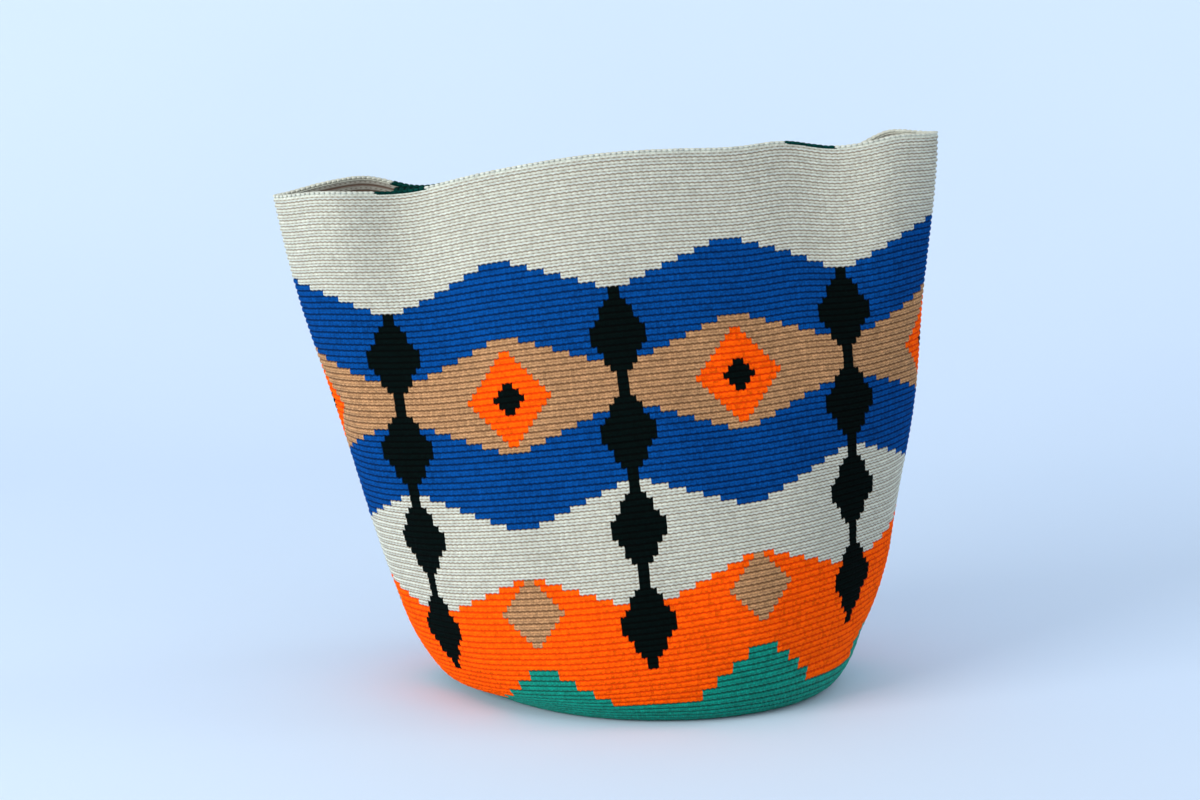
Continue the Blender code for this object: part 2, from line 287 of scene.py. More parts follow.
def section(height, inset_share):
    """The tube's outline at one height, from the back's middle: points and shares of the way round."""
    up = height / HEIGHT
    spread = (1 - up) ** FLARE_POWER
    half_width = MOUTH_HALF_WIDTH - (MOUTH_HALF_WIDTH - BASE_HALF_WIDTH) * spread
    inset = EDGE_INSET * inset_share
    angle = math.pi / 2 + np.linspace(0, 2 * math.pi, SECTION_SAMPLES + 1)
    across, front = np.cos(angle), -np.sin(angle)
    x = (half_width - inset) * across
    y = -(half_depth(half_width) - inset) * front
    fold = up**FOLD_POWER
    is_front = smooth((front + FRONT_BLEND) / (2 * FRONT_BLEND))
    middle = np.cos(math.pi / 2 * np.clip(x / BULGE_REACH, -1, 1)) ** 2
    push = middle * (BULGE_BACK + (BULGE_FRONT - BULGE_BACK) * is_front)
    lift = middle * (-RIM_DROP_BACK + (RIM_RISE_FRONT + RIM_DROP_BACK) * is_front)
    for at, width, push_front, push_back, lift_front, lift_back in FOLDS:
        near = np.exp(-(((x - at) / width) ** 2))
        flat = np.abs(front) ** 0.5
        push = push + near * flat * (push_back + (push_front - push_back) * is_front)
        lift = lift + near * (lift_back + (lift_front - lift_back) * is_front)
    for drop, side in ((TIP_DROP_LEFT, -1), (TIP_DROP_RIGHT, 1)):
        lift = lift - drop * smooth(1 - (MOUTH_HALF_WIDTH - side * x) / TIP_REACH)
    y = y - np.sign(front) * fold * push
    tilt = LOW_TILT * smooth(height / LOW_TILT_HEIGHT) * (1 - up) ** 1.5
    z = height + fold * lift + tilt * x
    along = np.concatenate([[0.0], np.cumsum(np.hypot(np.diff(x), np.diff(y)))])
    return np.stack([x, y, z], axis=1), along / along[-1]


def profile(share):
    """(height, inset share) at a share of the way up the wall, the rounded lower edge included."""
    turn = np.linspace(0, math.pi / 2, 200)
    height, inset = EDGE_HEIGHT * (1 - np.cos(turn)), 1 - np.sin(turn)
    steps = np.hypot(np.diff(height), EDGE_INSET * np.diff(inset))
    length = np.concatenate([[0.0], np.cumsum(steps)])
    reached = share * (length[-1] + HEIGHT - EDGE_HEIGHT)
    if reached >= length[-1]:
        return EDGE_HEIGHT + reached - length[-1], 0.0
    return float(np.interp(reached, length, height)), float(np.interp(reached, length, inset))


def leaned(points):
    points = np.asarray(points, float)
    x, y, z = points[..., 0], points[..., 1], points[..., 2]
    angle = LEAN * smooth(z / LEAN_HEIGHT)
    return np.stack(
        [x * np.cos(angle) - z * np.sin(angle), y, z * np.cos(angle) + x * np.sin(angle)],
        axis=-1,
    )


def read_at(where, known, values):
    """Rows of three values, read in between at these places of the known ones."""
    return np.stack([np.interp(where, known, values[:, i]) for i in range(3)], axis=1)


def wall_at(shares, around):
    """The wall's smooth outer surface: one row of points for each share of the way up.

    around holds each row's shares of the way round, from the back's middle.
    """
    rows = []
    for share, way in zip(shares, around):
        points, along = section(*profile(share))
        rows.append(read_at(way % 1.0, along, points))
    return leaned(np.array(rows))


def normals_of(net):
    around = np.roll(net, -1, axis=1) - np.roll(net, 1, axis=1)
    normal = np.cross(around, np.gradient(net, axis=0))
    return normal / np.linalg.norm(normal, axis=2, keepdims=True)


def in_diamond(across, row, centre, half_width, half_height):
    return across / half_width + abs(row - centre) / half_height < 1


def colour_at(row, stitch):
    """The yarn's colour at a round, counted up from the base's edge, and a stitch."""
    half = REPEAT / 2
    from_column = abs((stitch + half) % REPEAT - half)
    between = half - from_column
    tooth = TOOTH_ROUNDS * max(0, TOOTH_STEPS - between // STEP)
    if any(in_diamond(from_column, row, centre, *COLUMN_DIAMOND) for centre in COLUMN_CENTRES):
        return "dark"
    if row < GREEN_TOP + tooth:
        return "green"
    if in_diamond(between, row, *HIGH_ORANGE):
        return "dark" if in_diamond(between, row, *HIGH_DARK) else "orange"
    if in_diamond(between, row, *LOW_TAN):
        return "tan"
    for colour, top, way in BANDS:
        if row < top + way * (from_column // STEP):
            return colour
    return TOP_BAND


def pattern():
    """The colour's number for every round and stitch."""
    names = list(YARNS)
    return np.array(
        [[names.index(colour_at(row, s + 0.5)) for s in range(STITCHES)] for row in range(ROUNDS)]
    )


def new_mesh(name, points, quads, weave):
    """A mesh object from arrays. weave holds a (stitch, round, tone) for each face corner."""
    used, quads = np.unique(quads, return_inverse=True)
    quads = quads.reshape(-1, 4)
    points = points[used]
    mesh = bpy.data.meshes.new(name)
    mesh.vertices.add(len(points))
    mesh.vertices.foreach_set("co", points.astype(np.float32).ravel())
    mesh.loops.add(quads.size)
    mesh.loops.foreach_set("vertex_index", quads.astype(np.int32).ravel())
    mesh.polygons.add(len(quads))
    mesh.polygons.foreach_set("loop_start", np.arange(0, quads.size, 4, dtype=np.int32))
    mesh.update(calc_edges=True)
    layer = mesh.attributes.new("weave", "FLOAT_VECTOR", "CORNER")
    layer.data.foreach_set("vector", weave.astype(np.float32).ravel())
    mesh.validate()
    mesh.shade_smooth()
    made = bpy.data.objects.new(name, mesh)
    bpy.context.scene.collection.objects.link(made)
    return made


def grid_quads(rows, cols):
    """Quads of a net whose last column joins its first, and the (row, column) of each."""
    row, col = np.meshgrid(np.arange(rows - 1), np.arange(cols), indexing="ij")
    right = (col + 1) % cols
    quads = [row * cols + col, row * cols + right, (row + 1) * cols + right, (row + 1) * cols + col]
    return np.stack(quads, axis=-1).reshape(-1, 4), row.ravel(), col.ravel()


def strip_cap(first, count):
    """Quads that close a ring of an even number of points, counted on from the first, in one strip."""
    step = np.arange(count // 2 - 1)[:, None]
    return first + np.concatenate([step, step + 1, count - 2 - step, count - 1 - step], axis=1)


def plain_weave(faces):
    """A (stitch, round, tone) of plain yarn, off every line, for each of these faces' corners."""
    return np.tile(np.array(PLAIN_YARN), (len(faces), 4, 1))


def grid_weave(u, v, tone):
    """A (stitch, round, tone) for each quad's corners, from the values at the net's points."""
    rows, cols = u.shape
    last = np.arange(cols) == cols - 1
    u_right = np.where(last, STITCHES, np.roll(u, -1, axis=1))
    mine = tone[:-1]
    corners = [(u[:-1], v[:-1]), (u_right[:-1], v[:-1]), (u_right[1:], v[1:]), (u[1:], v[1:])]
    weave = np.stack([np.stack([a, b, mine], axis=-1) for a, b in corners], axis=2)
    return weave.reshape(-1, 4, 3)


def dents_at(level, way):
    """How far the soft wall stands out, in metres, at shares of the way up and round."""
    waves = sum(np.sin(2 * np.pi * (many * way + up * level) + start) for many, up, start in DENTS)
    return DENT_DEPTH * waves * np.sin(np.pi * level)


def stitched_wall():
    """The net of the wall's outside: points, quads, weave values, and each quad's round and stitch."""
    rows, cols = ROUNDS * ROWS + 1, STITCHES * COLS
    level = np.arange(rows)[:, None] / ROWS
    rise = level - np.floor(level)
    stitch = np.arange(cols)[None, :] // COLS
    kind = np.arange(cols)[None, :] % COLS
    # Each stitch is a V: its legs start together at the bottom and spread towards the top.
    spread = LEG_FOOT + LEG_SPREAD * rise
    within = np.choose(kind, [0 * rise, 0.5 - spread, 0.5 + 0 * rise, 0.5 + spread])
    row_index = np.minimum(np.floor(level), ROUNDS - 1).astype(int)
    tone = random.normal(0, 1, (ROUNDS, STITCHES))[row_index, stitch]
    drift = random.normal(0, SHIFT, (ROUNDS, STITCHES))[row_index, stitch]
    way = (stitch + within + drift) / STITCHES
    smooth_net = wall_at(level[:, 0] / ROUNDS, way)
    normal = normals_of(smooth_net)
    smooth_net = smooth_net + normal * dents_at(level / ROUNDS, way)[..., None]
    normal = normals_of(smooth_net)
    upward = np.gradient(smooth_net, axis=0) * ROWS
    row_kind = np.arange(rows)[:, None] % ROWS
    height = np.array(DIPS)[row_kind, kind] + TONE_HEIGHT * tone * (row_kind > 0)
    # The point of each V reaches down into the round below, so a round's edge is toothed.
    teeth = np.where(row_kind == 0, np.choose(kind, TEETH), 0.0)
    teeth[0] = teeth[-1] = 0
    net = smooth_net + normal * height[..., None] / 1000 + upward * teeth[..., None]
    net[..., 2] = np.maximum(net[..., 2], 0)
    quads, row, col = grid_quads(rows, cols)
    u = np.broadcast_to(stitch + within, (rows, cols))
    v = np.broadcast_to(level, (rows, cols))
    return net.reshape(-1, 3), quads, grid_weave(u, v, tone), row // ROWS, col // COLS


def under_handle():
    """Whether each stitch of the rim lies over the end of a handle."""
    rim, along = section(HEIGHT, 0.0)
    share = (np.arange(STITCHES) + 0.5) / STITCHES
    x, y = (np.interp(share, along, rim[:, i]) for i in range(2))
    spacing = np.where(y < 0, HANDLE_SPACING[-1], HANDLE_SPACING[1])
    return np.abs(np.abs(x) - spacing / 2) < HANDLE_WIDTH / 2


def build_wall():
    points, quads, weave, rounds, stitches = stitched_wall()
    colours = pattern()[rounds, stitches]
    pieces = []
    for number, yarn in enumerate(YARNS):
        for part, low, high in (("lower", 0, SPLIT_ROUND), ("upper", SPLIT_ROUND, ROUNDS)):
            chosen = (colours == number) & (rounds >= low) & (rounds < high)
            if not chosen.any():
                continue
            piece = new_mesh(f"stitches_{yarn}_{part}", points, quads[chosen], weave[chosen])
            piece.data.materials.append(yarn_material(yarn))
            pieces.append(piece)
    return pieces


def build_inside():
    """The back of the crochet, seen through the mouth, and the inner side of the base."""
    rows = 2 * ROUNDS + 1
    level = np.arange(rows) / 2
    way = np.broadcast_to(np.arange(STITCHES) / STITCHES, (rows, STITCHES))
    outer = wall_at(level / ROUNDS, way)
    normal = normals_of(outer)
    crest = np.where(np.arange(rows) % 2 == 1, 0.0, INSIDE_RIDGE)[:, None, None]
    inner = outer - normal * (WALL - INSIDE_SINK - crest)
    inner[..., 2] = np.maximum(inner[..., 2], WALL)
    edge = inner[0]
    discs = np.linspace(FLOOR_DISC, 1, BASE_ROUNDS * 2, endpoint=False)[:, None, None]
    floor = edge[None] * discs
    floor[..., 2] = WALL - FLOOR_RIDGE * (np.arange(BASE_ROUNDS * 2) % 2)[:, None]
    net = np.concatenate([floor, inner])[::-1]
    u = np.broadcast_to(np.arange(STITCHES), net.shape[:2]).astype(float)
    v = np.broadcast_to((np.arange(len(net))[::-1, None] - 2 * BASE_ROUNDS) / 2, net.shape[:2])
    tone = random.normal(0, 1, net.shape[:2])
    quads, row, col = grid_quads(*net.shape[:2])
    weave = grid_weave(u, v, tone)
    round_number = np.floor(weave[:, :, 1].mean(axis=1)).astype(int)
    green = list(YARNS).index("green")
    colours = pattern()[np.clip(round_number, 0, ROUNDS - 1), col]
    colours[round_number < 0] = green
    cap = strip_cap((len(net) - 1) * STITCHES, STITCHES)
    colours = np.concatenate([colours, np.full(len(cap), green)])
    quads, weave = np.concatenate([quads, cap]), np.concatenate([weave, plain_weave(cap)])
    piece = new_mesh("inside", net.reshape(-1, 3), quads, weave)
    for yarn in YARNS:
        piece.data.materials.append(yarn_material(yarn, inside=True))
    piece.data.polygons.foreach_set("material_index", colours.astype(np.int32))
    return piece


def build_base():
    """The underside of the base: rounds of green crochet from its middle to the wall."""
    rows, cols = BASE_ROUNDS * 2 + 1, STITCHES // 2
    way = np.arange(cols) / cols
    edge = wall_at([0.0], [way])[0]
    share = np.linspace(BASE_DISC, 1, rows)[:, None, None]
    net = edge[None] * share
    groove = np.arange(rows) % 2 == 0
    net[..., 2] = np.where(groove, BASE_GROOVE, BASE_REST)[:, None]
    u = np.broadcast_to(np.arange(cols) * 2, (rows, cols)).astype(float)
    v = np.broadcast_to((np.arange(rows) / 2)[:, None], (rows, cols))
    tone = random.normal(0, 1, (rows, cols))
    cap = strip_cap(0, cols)[:, ::-1]
    quads = np.concatenate([grid_quads(rows, cols)[0], cap])
    weave = np.concatenate([grid_weave(u, v, tone), plain_weave(cap)])
    piece = new_mesh("base", net.reshape(-1, 3), quads, weave)
    piece.data.materials.append(yarn_material("green"))
    return piece


def rim_path():
    """The rim at each stitch: (middle of the wall's top, outward, upward)."""
    way = (np.arange(STITCHES) + 0.5) / STITCHES
    lower, top = wall_at([1 - 1 / ROUNDS, 1.0], [way, way])
    outward = normals_of(np.stack([lower, top]))[1]
    upward = top - lower
    upward /= np.linalg.norm(upward, axis=1, keepdims=True)
    return top - outward * WALL / 2, outward, upward


def build_rim_bed():
    """The rounded top of the wall, under the rim's chain, from the outside over to the inside."""
    middle, outward, upward = rim_path()
    rows = []
    for turn in np.linspace(0, math.pi, RIM_ROWS):
        out = outward * math.cos(turn) * (WALL / 2 - RIM_INSET)
        rows.append(middle + out + upward * (math.sin(turn) * RIM_HEIGHT - RIM_SINK))
    net = np.array(rows)
    u = np.broadcast_to(np.arange(STITCHES), net.shape[:2]).astype(float)
    v = np.broadcast_to(np.linspace(*RIM_WEAVE, RIM_ROWS)[:, None], net.shape[:2])
    quads, _, col = grid_quads(*net.shape[:2])
    weave = grid_weave(u, v, np.zeros(net.shape[:2]))
    piece = new_mesh("rim_bed", net.reshape(-1, 3), quads, weave)
    piece.data.materials.append(yarn_material("cream"))
    piece.data.materials.append(yarn_material("strap"))
    piece.data.polygons.foreach_set("material_index", under_handle()[col].astype(np.int32))
    return piece


def scattered(name, points, along, upward, sizes, material, spread, seed):
    """Yarn legs as a mesh: Geometry Nodes sets one rounded grain at each point, along its leg."""
    guide = bpy.data.meshes.new(name + "_points")
    guide.from_pydata([tuple(p) for p in points], [], [])
    count = len(points)
    u, v = np.arange(count) + LEG_WEAVE[0], np.full(count, LEG_WEAVE[1])
    weave = np.stack([u, v, random.normal(0, 1, count)], axis=1)
    for label, values in (("along", along), ("upward", upward), ("weave", weave)):
        layer = guide.attributes.new(label, "FLOAT_VECTOR", "POINT")
        layer.data.foreach_set("vector", values.astype(np.float32).ravel())
    made = bpy.data.objects.new(name, guide)
    bpy.context.scene.collection.objects.link(made)
    group = bpy.data.node_groups.new(name + "_nodes", "GeometryNodeTree")
    face = group.interface
    face.new_socket("Geometry", in_out="INPUT", socket_type="NodeSocketGeometry")
    for label, kind, value in (
        ("Length", "NodeSocketFloat", sizes[0]),
        ("Width", "NodeSocketFloat", sizes[1]),
        ("Height", "NodeSocketFloat", sizes[2]),
        ("Spread", "NodeSocketFloat", spread),
        ("Seed", "NodeSocketInt", seed),
        ("Yarn", "NodeSocketMaterial", material),
    ):
        face.new_socket(label, in_out="INPUT", socket_type=kind).default_value = value
    face.new_socket("Geometry", in_out="OUTPUT", socket_type="NodeSocketGeometry")
    nodes, links = group.nodes, group.links
    start, end = nodes.new("NodeGroupInput"), nodes.new("NodeGroupOutput")
    grain = nodes.new("GeometryNodeMeshUVSphere")
    grain.inputs["Segments"].default_value = GRAIN_SEGMENTS
    grain.inputs["Rings"].default_value = GRAIN_RINGS
    grain.inputs["Radius"].default_value = 0.5
    size = nodes.new("ShaderNodeCombineXYZ")
    for socket, label in zip(size.inputs, ("Length", "Width", "Height")):
        links.new(start.outputs[label], socket)
    shaped = nodes.new("GeometryNodeTransform")
    links.new(grain.outputs["Mesh"], shaped.inputs["Geometry"])
    links.new(size.outputs[0], shaped.inputs["Scale"])
    turned = None
    for label, axis in (("along", "X"), ("upward", "Z")):
        read = nodes.new("GeometryNodeInputNamedAttribute")
        read.data_type = "FLOAT_VECTOR"
        read.inputs["Name"].default_value = label
        align = nodes.new("FunctionNodeAlignRotationToVector")
        align.axis = axis
        if turned:
            align.pivot_axis = "X"
            links.new(turned, align.inputs["Rotation"])
        links.new(read.outputs["Attribute"], align.inputs["Vector"])
        turned = align.outputs["Rotation"]
    vary = nodes.new("FunctionNodeRandomValue")
    vary.data_type = "FLOAT"
    for operation, label in (("SUBTRACT", "Min"), ("ADD", "Max")):
        limit = nodes.new("ShaderNodeMath")
        limit.operation = operation
        limit.inputs[0].default_value = 1.0
        links.new(start.outputs["Spread"], limit.inputs[1])
        socket = next(i for i in vary.inputs if i.name == label and i.type == "VALUE")
        links.new(limit.outputs[0], socket)
    links.new(start.outputs["Seed"], vary.inputs["Seed"])
    place = nodes.new("GeometryNodeInstanceOnPoints")
    links.new(start.outputs["Geometry"], place.inputs["Points"])
    links.new(shaped.outputs[0], place.inputs["Instance"])
    links.new(turned, place.inputs["Rotation"])
    scale = next(o for o in vary.outputs if o.type == "VALUE" and o.enabled)
    links.new(scale, place.inputs["Scale"])
    real = nodes.new("GeometryNodeRealizeInstances")
    links.new(place.outputs[0], real.inputs[0])
    smooth_all = nodes.new("GeometryNodeSetShadeSmooth")
    links.new(real.outputs[0], smooth_all.inputs["Geometry"])
    dress = nodes.new("GeometryNodeSetMaterial")
    links.new(smooth_all.outputs[0], dress.inputs["Geometry"])
    links.new(start.outputs["Yarn"], dress.inputs["Material"])
    links.new(dress.outputs[0], end.inputs[0])
    made.modifiers.new("legs", "NODES").node_group = group
    graph = bpy.context.evaluated_depsgraph_get()
    mesh = bpy.data.meshes.new_from_object(made.evaluated_get(graph))
    made.modifiers.clear()
    made.data = mesh
    mesh.name = name
    return made


def build_rim_chains():
    """The chain of V loops along the rim: cream, and the handles' own yarn over their ends."""
    middle, outward, upward = rim_path()
    ahead = np.roll(middle, -1, axis=0) - np.roll(middle, 1, axis=0)
    ahead /= np.linalg.norm(ahead, axis=1, keepdims=True)
    aside = outward * np.array([1, -1])[:, None, None]
    legs = (
        middle + aside * CHAIN_SPREAD + upward * CHAIN_RISE,
        ahead + aside * CHAIN_SLANT,
        upward + aside * CHAIN_TIP,
    )
    covered = under_handle()
    pieces = []
    for name, yarn, slot, chosen in (
        ("rim_chain", "cream", "cream", ~covered),
        ("handle_chain", "strap", "handle", covered),
    ):
        points, along, ups = (values[:, chosen].reshape(-1, 3) for values in legs)
        material = yarn_material(yarn)
        piece = scattered(
            name, points, along, ups, CHAIN_LEG, material, CHAIN_SIZE_SPREAD, CHAIN_SEED
        )
        pieces.append(piece)
    return pieces


def build_sewing():
    """The short stitches that hold each handle's end against the inside of the wall."""
    points, along, ups = [], [], []
    first_patch = 1 + BEND_POINTS + np.arange(PATCH_POINTS)
    depth = np.linspace(0, PATCH_POINTS - 1, SEWING_ROWS)
    for side in (-1, 1):
        route, width, thick = handle_route(side)
        for patch in (first_patch, len(route) - 1 - first_patch):
            at, across, through = (
                read_at(depth, np.arange(PATCH_POINTS), values[patch])
                for values in (route, width, thick)
            )
            for edge in (-1, 1):
                points.append(at + across * edge * HANDLE_WIDTH / 2)
                along.append(across)
                ups.append(through)
            down = at[-1] - at[-2]
            down /= np.linalg.norm(down)
            for share in np.linspace(-SEWING_REACH, SEWING_REACH, SEWING_COLUMNS):
                points.append([at[-1] + across[-1] * share * HANDLE_WIDTH])
                along.append([down])
                ups.append([through[-1]])
    points, along, ups = (np.concatenate(values) for values in (points, along, ups))
    places = leaned(points)
    ends = leaned(points + along * PROBE) - places
    material = yarn_material("strap")
    piece = scattered(
        "sewing", places, ends, ups, SEWING_STITCH, material, SEWING_SIZE_SPREAD, SEWING_SEED
    )
    return piece


def wall_place(side, end, drop, slope=0.0):
    """The wall where a handle is sewn on, this far below the rim: (point outside, outward, along).

    slope is the rim's slope there, because a handle hangs square to the rim.
    """
    points, _ = section(HEIGHT - drop, 0.0)
    order = np.where(points[:, 1] * side > 0)[0]
    order = order[np.argsort(points[order, 0])]
    facing = points[order]
    middle = end * HANDLE_SPACING[side] / 2 + slope * drop
    x = middle + np.linspace(-0.5, 0.5, ACROSS_POINTS) * HANDLE_WIDTH
    across = read_at(x, facing[:, 0], facing)
    along = across[-1] - across[0]
    along /= np.linalg.norm(along)
    outward = np.array([along[1], -along[0], 0]) * -side
    outward /= np.linalg.norm(outward)
    centre = across[ACROSS_POINTS // 2]
    innermost = ((across - centre) @ outward).min()
    return centre + outward * innermost, outward, along


def handle_end(side, end):
    """Points and thickness directions from the gap in the rim to the bottom of the sewn patch."""
    rim, outward, along = wall_place(side, end, 0)
    up = np.cross(along, outward) * side
    slope = along[2] / along[0]
    inset = WALL_ROOM * WALL + CLEARANCE + HANDLE_THICKNESS / 2
    top = rim - up * (NOTCH_DEPTH - CLEARANCE - HANDLE_THICKNESS / 2)
    corner = top - outward * (inset - HANDLE_BEND)
    points, thick = [top], [up]
    for turn in np.linspace(0, math.pi / 2, BEND_POINTS):
        turned = outward * math.sin(turn) + up * (1 - math.cos(turn))
        points.append(corner - HANDLE_BEND * turned)
        thick.append(up * math.cos(turn) - outward * math.sin(turn))
    for drop in np.linspace(2 * HANDLE_BEND, HANDLE_PATCH, PATCH_POINTS):
        at, outward, _ = wall_place(side, end, drop, slope)
        points.append(at - outward * inset)
        thick.append(-outward)
    return points, thick


def handle_route(side):
    """Points, width directions and thickness directions along a handle, before leaning."""
    left_points, left_thick = handle_end(side, -1)
    right_points, right_thick = handle_end(side, 1)
    start, finish = left_points[-1], right_points[-1]
    points, thick = [], []
    steps = np.linspace(0, math.pi, HANDLE_STEPS + 1)[1:-1]
    for turn in steps:
        low = math.sin(turn)
        share = (1 - math.cos(turn)) / 2
        hang = np.array([0, side * HANDLE_DRIFT * low**2, -HANDLE_DROP * low])
        points.append(start + (finish - start) * share + hang)
        thick.append(np.array([0, -side, 0]))
    route = np.array([*left_points, *points, *right_points[::-1]])
    thick = np.array([*left_thick, *thick, *right_thick[::-1]])
    tangent = np.gradient(route, axis=0)
    tangent /= np.linalg.norm(tangent, axis=1, keepdims=True)
    thick -= tangent * (thick * tangent).sum(axis=1, keepdims=True)
    thick /= np.linalg.norm(thick, axis=1, keepdims=True)
    width = np.cross(tangent, thick)
    bare = np.zeros(len(left_points))
    turned = math.pi / 2 * smooth((np.sin(steps) - TWIST_START) / TWIST_SPAN)
    twist = np.concatenate([bare, turned, bare])[:, None]
    flat = width * np.cos(twist) - thick * np.sin(twist)
    return route, flat, thick * np.cos(twist) + width * np.sin(twist)


def build_handle(name, side):
    """A flat crocheted strap: rows of stitches run along it, and it is flat on both faces."""
    # The strap's ends stop inside the rim, under the handle's chain.
    route, width, thick = (values[1:-1] for values in handle_route(side))
    step = np.linalg.norm(np.diff(route, axis=0), axis=1)
    length = np.concatenate([[0], np.cumsum(step)])
    count = int(length[-1] / (ROUND_HEIGHT / 2))
    where = np.linspace(0, length[-1], count)
    at, across, through = (read_at(where, length, values) for values in (route, width, thick))
    across /= np.linalg.norm(across, axis=1, keepdims=True)
    through /= np.linalg.norm(through, axis=1, keepdims=True)
    per_side = HANDLE_ROWS * POINTS_PER_ROW
    t = (np.arange(per_side) + 0.5) / per_side
    ridge = np.abs(np.sin(np.pi * t * HANDLE_ROWS)) ** RIDGE_POWER
    edge = (1 - np.abs(2 * t - 1) ** EDGE_POWER) ** 0.5
    face_height = HANDLE_THICKNESS / 2 * edge * (VALLEY + (1 - VALLEY) * ridge)
    x = (t - 0.5) * HANDLE_WIDTH
    x = np.concatenate([x, x[::-1]])
    y = np.concatenate([face_height, -face_height[::-1]])
    beat = 1 + BEAT * np.cos(2 * np.pi * where / ROUND_HEIGHT)
    out = (y[None] * beat[:, None])[..., None]
    net = at[:, None] + across[:, None] * x[None, :, None] + through[:, None] * out
    u = np.broadcast_to((where / ROUND_HEIGHT)[:, None], net.shape[:2])
    v = np.broadcast_to(np.concatenate([t, t[::-1]])[None] * HANDLE_ROWS, net.shape[:2])
    cols = net.shape[1]
    quads, row, col = grid_quads(len(net), cols)
    right = (col + 1) % cols
    corners = [(row, col), (row, right), (row + 1, right), (row + 1, col)]
    weave = np.stack([np.stack([u[c], v[c], 0 * row], axis=-1) for c in corners], axis=1)
    caps = [strip_cap(0, cols)[:, ::-1], strip_cap((len(net) - 1) * cols, cols)]
    quads = np.concatenate([quads, *caps])
    weave = np.concatenate([weave, *(plain_weave(cap) for cap in caps)])
    piece = new_mesh(name, leaned(net).reshape(-1, 3), quads, weave)
    piece.data.materials.append(yarn_material("strap"))
    return piece


def colour_mix(nodes):
    """A node that mixes two colours: its inputs by identifier, and its result."""
    mix = nodes.new("ShaderNodeMix")
    mix.data_type = "RGBA"
    result = next(o for o in mix.outputs if o.identifier == "Result_Color")
    return {socket.identifier: socket for socket in mix.inputs}, result


